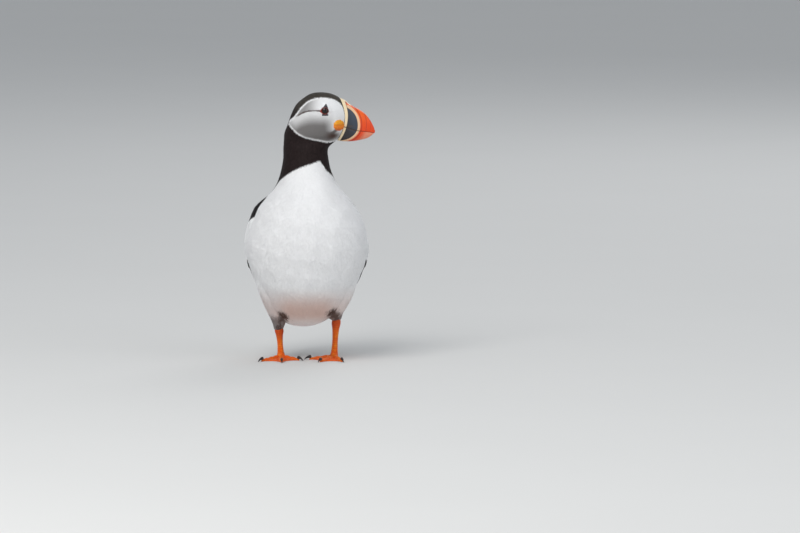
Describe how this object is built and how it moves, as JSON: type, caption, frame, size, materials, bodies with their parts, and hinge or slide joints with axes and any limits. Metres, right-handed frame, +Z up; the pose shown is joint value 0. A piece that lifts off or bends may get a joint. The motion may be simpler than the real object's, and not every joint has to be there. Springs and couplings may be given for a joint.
{
  "type": "atlantic puffin",
  "caption": "Life-size still model of an Atlantic puffin standing upright, its head turned to its left, with a deep banded bill, folded wings and webbed feet.",
  "frame": {"origin": "on the ground, under the middle of the bird's footprint box", "axes": "+Z up, the bird's body faces -Y, its left side is +X, and its bill points along +X because the head is turned"},
  "size_m": [0.1116, 0.1322, 0.2323],
  "materials": {
    "white_plumage": "dense white feathers, matte",
    "black_plumage": "dense black feathers with a brown cast, matte",
    "face_plumage": "short pale grey and white feathers, matte",
    "wing_plumage": "black flight and cover feathers, slight sheen",
    "thigh_plumage": "short white feathers, brown-grey near the bare leg",
    "bill_horn": "horn plates: grey-blue, cream and orange-red, satin",
    "gape_skin": "bare orange and yellow skin, satin",
    "leg_skin": "orange scaled skin, satin",
    "claw_horn": "black horn, satin",
    "eye": "dark wet eye, gloss"
  },
  "bodies": {
    "root": {"bill_lower": "bill_horn", "bill_upper": "bill_horn", "claw_left_inner": "claw_horn", "claw_left_middle": "claw_horn", "claw_left_outer": "claw_horn", "claw_right_inner": "claw_horn", "claw_right_middle": "claw_horn", "claw_right_outer": "claw_horn", "eye_left": "eye", "eye_right": "eye", "foot_left": "leg_skin", "foot_right": "leg_skin", "gape_left": "gape_skin", "gape_right": "gape_skin", "head": "face_plumage", "neck": "black_plumage", "tail": "wing_plumage", "tarsus_left": "leg_skin", "tarsus_right": "leg_skin", "thigh_left": "thigh_plumage", "thigh_right": "thigh_plumage", "trunk": "white_plumage", "wing_left": "wing_plumage", "wing_right": "wing_plumage"}
  },
  "joints": []
}
